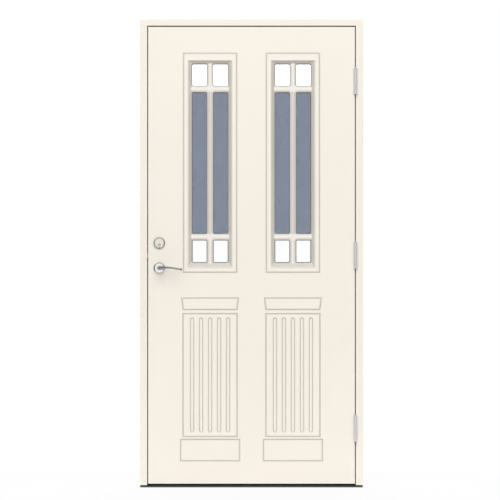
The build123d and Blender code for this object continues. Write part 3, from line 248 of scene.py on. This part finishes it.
leaf_paint = finish("leaf_paint", shades=((0.905, 0.846, 0.757), (0.938, 0.880, 0.795)),
                    mottle=2.5, grain=520, relief=0.00004, roughness=(0.32, 0.44))
# Painted shade on the slopes of the milled lines and flutes of the leaf.
shade_slopes(leaf_paint, depth=0.74)
dress(leaf_paint, "lock_stile", "hinge_stile", "top_rail", "bottom_rail")
reworked(leaf_paint, 0.0, skin_round_under, "leaf_inner_skin")
outer_skin = reworked(leaf_paint, 0.0, skin_round_under, "leaf_outer_skin")


# Capitals: a tapering field above each fluted panel of the outer face, raised by a milled line
# with a steep outer wall. The cutter is a trapezium inset twice, pulled into the face, with the
# rim between the two insets pushed in to the full depth.
capital_columns = (-0.1842, 0.1842)
capital_heights = (0.789, 0.843)
capital_halves = (0.1210, 0.1275)
capital_wall = 0.0014
capital_slope = 0.0056
capital_depth = 0.00305
capital_reach = 0.001
capital_middle = sum(capital_heights) / 2
capital_lean = ((capital_halves[1] - capital_halves[0])
                / (capital_heights[1] - capital_heights[0]))
half_height = capital_middle - capital_heights[0] + capital_wall
face_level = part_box("leaf_outer_skin")[0][1]


def pick(piece, wanted):
    """Selects, in edit mode, the corners of a piece whose places the test wants."""
    bpy.ops.mesh.select_all(action="DESELECT")
    bpy.ops.object.mode_set(mode="OBJECT")
    for corner in piece.data.vertices:
        corner.select = wanted(corner.co)
    bpy.ops.object.mode_set(mode="EDIT")


def on_line(corner):
    """Says whether a corner of the cutter lies on the milled line, at the face."""
    line_height = capital_heights[corner.z > capital_middle]
    return (abs(corner.z - line_height) < capital_wall / 2
            and corner.y > face_level - capital_reach / 2)


for column in capital_columns:
    clear()
    centre = (column, face_level, capital_middle)
    bpy.ops.mesh.primitive_plane_add(size=2, rotation=(pi / 2, 0, 0),
                                     location=(column, face_level - capital_reach, capital_middle))
    cutter = bpy.context.object
    bpy.ops.object.transform_apply()
    bpy.ops.object.mode_set(mode="EDIT")
    bpy.ops.transform.resize(value=(1, 1, half_height), center_override=centre)
    for upper, widening, half in ((False, -1, capital_halves[0]), (True, 1, capital_halves[1])):
        pick(cutter, lambda corner: (corner.z > capital_middle) == upper)
        half_width = half + capital_wall + widening * capital_lean * capital_wall
        bpy.ops.transform.resize(value=(half_width, 1, 1), center_override=centre)
    bpy.ops.mesh.select_all(action="SELECT")
    bpy.ops.mesh.inset(thickness=capital_wall)
    bpy.ops.mesh.inset(thickness=capital_slope)
    bpy.ops.mesh.delete(type="FACE")
    bpy.ops.mesh.select_all(action="SELECT")
    bpy.ops.mesh.extrude_region_move(TRANSFORM_OT_translate={"value": (0, capital_reach, 0)})
    pick(cutter, on_line)
    bpy.ops.mesh.select_mode(type="VERT")
    bpy.ops.transform.translate(value=(0, capital_depth, 0))
    bpy.ops.mesh.select_all(action="SELECT")
    bpy.ops.mesh.normals_make_consistent(inside=False)
    bpy.ops.object.mode_set(mode="OBJECT")
    clear()
    outer_skin.select_set(True)
    bpy.context.view_layer.objects.active = outer_skin
    milled = outer_skin.modifiers.new("milled_line", "BOOLEAN")
    milled.object = cutter
    milled.operation = "DIFFERENCE"
    milled.solver = "EXACT"
    bpy.ops.object.modifier_apply(modifier=milled.name)
    bpy.data.objects.remove(cutter)
bpy.ops.mesh.customdata_custom_splitnormals_clear()
smooth(outer_skin, skin_round_under)


# Window casings with their bars: moulded white plastic frames that clamp the glass from both sides
# on rubber gaskets. The inner one is screwed through the liner, the outer one shows no fixing.
casing_plastic = finish("casing_plastic", shades=((0.880, 0.845, 0.780), (0.915, 0.880, 0.820)),
                        mottle=3, grain=700, relief=0.00002, roughness=(0.24, 0.34))
# Painted shade on the sloping sides of the casings and their bars.
shade_slopes(casing_plastic, depth=0.78)
gasket_rubber = finish("gasket_rubber", shades=((0.150, 0.142, 0.130), (0.200, 0.190, 0.175)),
                       mottle=30, grain=1200, relief=0.00003, roughness=(0.50, 0.70))
dress(gasket_rubber, "glazing_gaskets")
for side in ("left", "right"):
    reworked(casing_plastic, 0.0, round_under, f"{side}_outer_grille", f"{side}_inner_grille")


# Sealed glass units: three panes held apart by drawn aluminium spacers.
# The outer pane of the tall lights is body-tinted blue grey, the rest is clear.
def glass(name, colour):
    """Float glass with the faint roller waves of its surface."""
    material = finish(name, shades=(colour, colour),
                      mottle=4, grain=9, relief=0.00006, roughness=(0.0, 0.02))
    shader = material.node_tree.nodes["Principled BSDF"]
    shader.inputs["Transmission Weight"].default_value = 1
    shader.inputs["IOR"].default_value = 1.5
    return material


clear_glass = glass("clear_glass", (0.995, 0.998, 0.997))
tinted_glass = glass("tinted_glass", (0.222, 0.257, 0.335))
spacer_metal = finish("spacer_metal", shades=((0.55, 0.56, 0.57), (0.66, 0.67, 0.68)),
                      mottle=20, grain=1500, relief=0.00003, roughness=(0.30, 0.42), metal=1.0)
for side in ("left", "right"):
    dress(clear_glass, f"{side}_clear_panes")
    dress(tinted_glass, f"{side}_tinted_pane")
    dress(spacer_metal, f"{side}_glazing_spacers")


# Lock: a zinc plated steel case let into the edge of the leaf, with a follower that the square
# spindle turns, a cam and brass bolts. The forend and the strike plate are polished and chromed
# steel strips, let in flush and screwed. Chromed screws through the lock clamp the furniture.
strip_edge = 0.0003
screw_edge = 0.0002
bolt_edge = 0.0004
dress(zinc_plate, "lock_case", "lock_case_cover", "spindle", "lever_follower", "deadbolt_cam")
chrome = finish("chrome", shades=((0.82, 0.82, 0.82), (0.88, 0.88, 0.88)),
                mottle=18, grain=1600, relief=0.000004, roughness=(0.06, 0.13), metal=1.0)
reworked(chrome, strip_edge, round_under, "strike_plate", "lock_forend")
reworked(chrome, screw_edge, round_under, "furniture_screws")
brass = finish("brass", shades=((0.66, 0.62, 0.24), (0.74, 0.70, 0.32)),
               mottle=30, grain=1500, relief=0.00001, roughness=(0.18, 0.32), metal=1.0)
reworked(brass, bolt_edge, round_under, "latch_bolt", "deadbolt")


# Roses: the inner ones are stepped and drilled for the screws that hold them, polished and
# chromed. The outer one is spun from steel sheet; the darker chrome on its sloping rim is a
# painted dark reflection.
rose_edge = 0.0003
seam_gap = 0.000005
turned_sides = 96
rose_profile = (
    (0.0092, 0.0070), (0.0092, 0.0002), (0.0250, 0.0000), (0.0255, 0.0003), (0.0255, 0.0040),
    (0.0253, 0.0046), (0.0249, 0.0051), (0.0212, 0.0083), (0.0207, 0.0086), (0.0200, 0.0088),
    (0.0195, 0.0089), (0.0098, 0.0090), (0.0094, 0.0088), (0.0092, 0.0084), (0.0092, 0.0070))
rim_start = 0.0202


def pull(shift, scale, centre):
    """Extrudes the selected rim by a shift, then scales its new end about a centre."""
    bpy.ops.mesh.extrude_region_move(TRANSFORM_OT_translate={"value": shift})
    bpy.ops.transform.resize(value=scale, center_override=centre)


def close_rims():
    """Fills what is still open, and turns all faces outwards."""
    bpy.ops.mesh.select_all(action="SELECT")
    bpy.ops.mesh.remove_doubles(threshold=seam_gap)
    bpy.ops.mesh.select_non_manifold(extend=False, use_wire=False, use_multi_face=False,
                                     use_non_contiguous=False, use_verts=False)
    bpy.ops.mesh.edge_face_add()
    bpy.ops.mesh.select_all(action="SELECT")
    bpy.ops.mesh.normals_make_consistent(inside=False)
    bpy.ops.object.mode_set(mode="OBJECT")


def rim(name, centre, radius, sides):
    """Open circle across the leaf, ready in edit mode to be pulled out into a piece."""
    clear()
    bpy.ops.mesh.primitive_circle_add(vertices=sides, radius=radius, location=centre,
                                      rotation=(pi / 2, 0, 0))
    piece = bpy.context.object
    piece.name = name
    bpy.ops.object.transform_apply()
    bpy.ops.object.mode_set(mode="EDIT")
    bpy.ops.mesh.select_all(action="SELECT")
    return piece


def turned(name, centre, out, profile):
    """Piece turned on the axis through centre, from a profile of (radius, distance from it)."""
    radius, reach = profile[0]
    start = (centre[0], centre[1] + out * reach, centre[2])
    piece = rim(name, start, radius, turned_sides)
    for wider, further in profile[1:]:
        pull((0, out * (further - reach), 0), (wider / radius, 1, wider / radius), centre)
        radius, reach = wider, further
    close_rims()
    smooth(piece, round_under)
    return piece


reworked(chrome, rose_edge, round_under, "inner_lever_rose", "thumbturn_rose")
rose_low, rose_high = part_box("outer_lever_rose")
lever_x = (rose_low[0] + rose_high[0]) / 2
lever_z = (rose_low[2] + rose_high[2]) / 2
outside_face = rose_high[1]
outer_rose = turned("outer_rose_made", (lever_x, outside_face, lever_z), -1, rose_profile)
rim_shaded_chrome = finish("rim_shaded_chrome", shades=((0.50, 0.49, 0.47), (0.56, 0.55, 0.53)),
                   mottle=18, grain=1400, relief=0.000004, roughness=(0.08, 0.16), metal=1.0)
outer_rose.data.materials.append(chrome)
outer_rose.data.materials.append(rim_shaded_chrome)
# The rim faces take the darker chrome: a painted dark reflection of the room.
for face in outer_rose.data.polygons:
    across = Vector((face.center.x - lever_x, face.center.z - lever_z))
    face.material_index = int(across.length > rim_start)
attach(outer_rose, "leaf")
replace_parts(outer_rose, "outer_lever_rose")


# Lever handles: die cast, polished and chromed, one outside and one inside on the same square
# spindle. Each neck, given as (reach, radius), runs out of its rose and bends over. The grip, as
# (reach, rise, half height, half depth), tapers to a small ball.
lever_sides = 16
lever_projection = 0.054
lever_neck_foot = (0.0070, 0.0088)
lever_neck = ((0.0095, 0.0088), (0.0120, 0.0090), (0.0180, 0.0098), (0.0260, 0.0104),
              (0.0340, 0.0102))
lever_bend = 0.0145
lever_bend_radius = 0.0096
lever_bend_steps = 6
lever_grip = ((0.0200, 0.0014, 0.0082, 0.0080), (0.0260, 0.0020, 0.0066, 0.0066),
              (0.0360, 0.0018, 0.0054, 0.0058), (0.0570, 0.0004, 0.0045, 0.0052),
              (0.0780, -0.0032, 0.0041, 0.0047), (0.0900, -0.0054, 0.0039, 0.0044),
              (0.0930, -0.0059, 0.0045, 0.0047), (0.0955, -0.0063, 0.0057, 0.0057),
              (0.0985, -0.0065, 0.0062, 0.0062), (0.1012, -0.0065, 0.0050, 0.0050),
              (0.1030, -0.0065, 0.0028, 0.0028), (0.1034, -0.0065, 0.0010, 0.0010))
# The levers' chrome is much darker than the other chrome: a painted dark reflection.
lever_shaded_chrome = finish("lever_shaded_chrome", shades=((0.34, 0.335, 0.34), (0.40, 0.395, 0.40)),
                      mottle=18, grain=1600, relief=0.000004, roughness=(0.07, 0.15), metal=1.0)


def cast(piece, material):
    """Rounds a casting off all over, and gives it its finish."""
    rounding = piece.modifiers.new("rounding", "SUBSURF")
    rounding.levels = rounding.render_levels = 2
    bpy.ops.object.modifier_apply(modifier=rounding.name)
    bpy.ops.object.shade_smooth()
    piece.data.materials.append(material)


def lever(name, face, out):
    """Lever that leaves the leaf's face at face in the direction out, and points to the hinges."""
    reach, size = lever_neck_foot
    here = Vector((lever_x, face + out * reach, lever_z))
    piece = rim(name, here, size, lever_sides)
    for reach, radius in (*lever_neck, (lever_projection - lever_bend, lever_bend_radius)):
        there = Vector((lever_x, face + out * reach, lever_z))
        pull(there - here, (radius / size, 1, radius / size), there)
        here, size = there, radius
    bpy.ops.mesh.spin(steps=lever_bend_steps, angle=out * pi / 2, axis=(0, 0, 1),
                      center=here + Vector((lever_bend, 0, 0)))
    here = Vector((lever_x + lever_bend, face + out * lever_projection, lever_z))
    high = deep = lever_bend_radius
    for reach, rise, half_high, half_deep in lever_grip:
        there = Vector((lever_x + reach, face + out * lever_projection, lever_z + rise))
        pull(there - here, (1, half_deep / deep, half_high / high), there)
        here, high, deep = there, half_high, half_deep
    bpy.ops.mesh.merge(type="CENTER")
    close_rims()
    cast(piece, lever_shaded_chrome)
    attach(piece, "lever")
    return piece


inside_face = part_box("inner_lever_rose")[0][1]
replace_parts(lever("outer_lever_made", outside_face, -1), "outer_lever")
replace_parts(lever("inner_lever_made", inside_face, 1), "inner_lever")


# Cylinder: an oval body let through the leaf from outside, satin chromed on its face, in a turned
# ring. Its brass plug, which the key turns by the keyway, works the deadbolt.
cylinder_edge = 0.0003
plug_edge = 0.0002
ring_profile = (
    (0.0200, 0.0060), (0.0200, 0.0002), (0.0262, 0.0000), (0.0265, 0.0004), (0.0265, 0.0042),
    (0.0263, 0.0050), (0.0259, 0.0056), (0.0214, 0.0103), (0.0210, 0.0107), (0.0205, 0.0109),
    (0.0202, 0.0108), (0.0200, 0.0104), (0.0200, 0.0060))
ring_low, ring_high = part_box("cylinder_ring")
ring_centre = ((ring_low[0] + ring_high[0]) / 2, ring_high[1], (ring_low[2] + ring_high[2]) / 2)
ring = turned("cylinder_ring_made", ring_centre, -1, ring_profile)
# The ring's chrome is darker than the other chrome: a painted dark reflection.
ring_shaded_chrome = finish("ring_shaded_chrome", shades=((0.46, 0.450, 0.42), (0.52, 0.510, 0.48)),
                    mottle=18, grain=1400, relief=0.000006, roughness=(0.16, 0.24), metal=1.0)
ring.data.materials.append(ring_shaded_chrome)
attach(ring, "leaf")
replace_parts(ring, "cylinder_ring")
disc_steel = finish("disc_steel", shades=((0.79, 0.775, 0.75), (0.85, 0.835, 0.81)),
                    mottle=22, grain=1400, relief=0.000008, roughness=(0.12, 0.20), metal=1.0)
reworked(disc_steel, cylinder_edge, round_under, "cylinder_body")
key_brass = finish("key_brass", shades=((0.74, 0.78, 0.30), (0.82, 0.86, 0.40)),
                   mottle=30, grain=1500, relief=0.00001, roughness=(0.22, 0.34), metal=1.0)
reworked(key_brass, plug_edge, round_under, "key_plug")


# Thumbturn: cast and chromed, a collar that turns in its rose and an upright oval grip for two
# fingers, given as (half width, half height, reach). Its shaft works the deadbolt from inside.
thumb_sides = 24
shaft_radius = 0.0060
shaft_depth = 0.0300
turn_low, turn_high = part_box("thumbturn")
turn_x = (turn_low[0] + turn_high[0]) / 2
turn_z = (turn_low[2] + turn_high[2]) / 2
grip_end = turn_high[1] - inside_face
thumb_sections = (
    (0.0060, 0.0060, 0.0047), (0.0108, 0.0108, 0.0048), (0.0110, 0.0110, 0.0060),
    (0.0108, 0.0108, 0.0086), (0.0095, 0.0100, 0.0093), (0.0052, 0.0085, 0.0098),
    (0.0045, 0.0100, 0.0125), (0.0045, 0.0142, 0.0175), (0.0045, 0.0150, 0.0210),
    (0.0044, 0.0150, grip_end - 0.0030), (0.0040, 0.0145, grip_end - 0.0008),
    (0.0028, 0.0130, grip_end))
here = Vector((turn_x, inside_face - shaft_depth, turn_z))
thumb = rim("thumbturn_made", here, shaft_radius, thumb_sides)
wide = high = shaft_radius
for half_wide, half_high, reach in thumb_sections:
    there = Vector((turn_x, inside_face + reach, turn_z))
    pull(there - here, (half_wide / wide, 1, half_high / high), there)
    here, wide, high = there, half_wide, half_high
bpy.ops.mesh.edge_face_add()
close_rims()
cast(thumb, chrome)
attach(thumb, "thumbturn")
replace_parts(thumb, "thumbturn")


# Floor: a sheet of pale matt studio paper under the threshold. It shows white to the camera,
# through the glass and in metal, and keeps the soft shadow of the door.
floor_width = 3.6
floor_depth = 2.5
paper_grey = 0.88
paper_white_share = 0.88


def seen_rays(nodes, links):
    """Socket that is 1 for what the camera sees, straight, through glass or in metal, else 0."""
    rays = nodes.new("ShaderNodeLightPath")
    seen = rays.outputs["Is Camera Ray"]
    for kind in ("Is Transmission Ray", "Is Glossy Ray"):
        either = nodes.new("ShaderNodeMath")
        either.operation = "MAXIMUM"
        links.new(seen, either.inputs[0])
        links.new(rays.outputs[kind], either.inputs[1])
        seen = either.outputs["Value"]
    return seen


clear()
bpy.ops.mesh.primitive_plane_add(size=1)
floor = bpy.context.object
floor.name = "studio_floor"
floor.scale = (floor_width, floor_depth, 1)
bpy.ops.object.transform_apply()
floor_paper = bpy.data.materials.new("floor_paper")
floor_paper.use_nodes = True
nodes, links = floor_paper.node_tree.nodes, floor_paper.node_tree.links
nodes.clear()
glowing = nodes.new("ShaderNodeEmission")
matt = nodes.new("ShaderNodeBsdfDiffuse")
matt.inputs["Color"].default_value = (paper_grey, paper_grey, paper_grey, 1)
share = nodes.new("ShaderNodeMath")
share.operation = "MULTIPLY"
share.inputs[1].default_value = paper_white_share
blend = nodes.new("ShaderNodeMixShader")
surface = nodes.new("ShaderNodeOutputMaterial")
links.new(seen_rays(nodes, links), share.inputs[0])
links.new(share.outputs["Value"], blend.inputs["Fac"])
links.new(matt.outputs["BSDF"], blend.inputs[1])
links.new(glowing.outputs["Emission"], blend.inputs[2])
links.new(blend.outputs["Shader"], surface.inputs["Surface"])
floor.data.materials.append(floor_paper)


# Light: a large soft lamp above and in front of the door, its twin behind, and an even pale room.
# Only metal shows the boards behind the camera, given as (name, place, turn, width, height, glow):
# a dark one, a white card before it and a grey wing on each side.
lamp_places = (("key_light", (0.0, -6.0, 5.0)), ("back_light", (0.0, 6.0, 5.0)))
lamp_aim = Vector((0, 0, 1.0))
lamp_size = 7.0
lamp_power = 455
room_strength = 0.34
boards = (("dark_board", (0, -24.0, 6.5), 0, 56, 23, 0.05),
          ("white_card", (0.3, -23.5, 1.6), 0, 10, 8, 1.0),
          ("left_wing", (-28.0, -13.0, -2.0), pi / 2, 22, 40, 0.27),
          ("right_wing", (28.0, -13.0, -2.0), pi / 2, 22, 40, 0.20))
for name, place in lamp_places:
    bpy.ops.object.light_add(type="AREA", location=place)
    lamp = bpy.context.object
    lamp.name = name
    lamp.data.size = lamp_size
    lamp.data.energy = lamp_power
    lamp.visible_camera = lamp.visible_glossy = False
    lamp.rotation_euler = (lamp_aim - Vector(place)).to_track_quat("-Z", "Y").to_euler()
for name, place, turn, width, height, glow in boards:
    clear()
    bpy.ops.mesh.primitive_plane_add(size=1, location=place, rotation=(pi / 2, 0, turn))
    board = bpy.context.object
    board.name = name
    board.scale = (width, height, 1)
    bpy.ops.object.transform_apply()
    card = bpy.data.materials.new(name)
    card.use_nodes = True
    nodes, links = card.node_tree.nodes, card.node_tree.links
    nodes.clear()
    glowing = nodes.new("ShaderNodeEmission")
    glowing.inputs["Strength"].default_value = glow
    surface = nodes.new("ShaderNodeOutputMaterial")
    links.new(glowing.outputs["Emission"], surface.inputs["Surface"])
    board.data.materials.append(card)
    board.visible_camera = board.visible_diffuse = False
    board.visible_transmission = board.visible_shadow = False
world = bpy.data.worlds.new("studio")
bpy.context.scene.world = world
world.use_nodes = True
nodes, links = world.node_tree.nodes, world.node_tree.links
nodes.clear()
room = nodes.new("ShaderNodeBackground")
room.inputs["Color"].default_value = (1, 1, 1, 1)
room.inputs["Strength"].default_value = room_strength
white = nodes.new("ShaderNodeBackground")
white.inputs["Color"].default_value = (1, 1, 1, 1)
blend = nodes.new("ShaderNodeMixShader")
surface = nodes.new("ShaderNodeOutputWorld")
links.new(seen_rays(nodes, links), blend.inputs["Fac"])
links.new(room.outputs["Background"], blend.inputs[1])
links.new(white.outputs["Background"], blend.inputs[2])
links.new(blend.outputs["Shader"], surface.inputs["Surface"])


# Camera: far back on a long lens, square to the outside face, so that the door shows with hardly
# any perspective. It stands at the height of the photograph's middle.
camera_place = (-0.00667, -18.58, 1.0556)
camera_lens = 300
camera_film = 36
camera_sight = 100
bpy.ops.object.camera_add(location=camera_place, rotation=(pi / 2, 0, 0))
camera = bpy.context.object
camera.data.lens = camera_lens
camera.data.sensor_width = camera_film
camera.data.clip_end = camera_sight
bpy.context.scene.camera = camera
bpy.context.scene.view_settings.view_transform = "Standard"
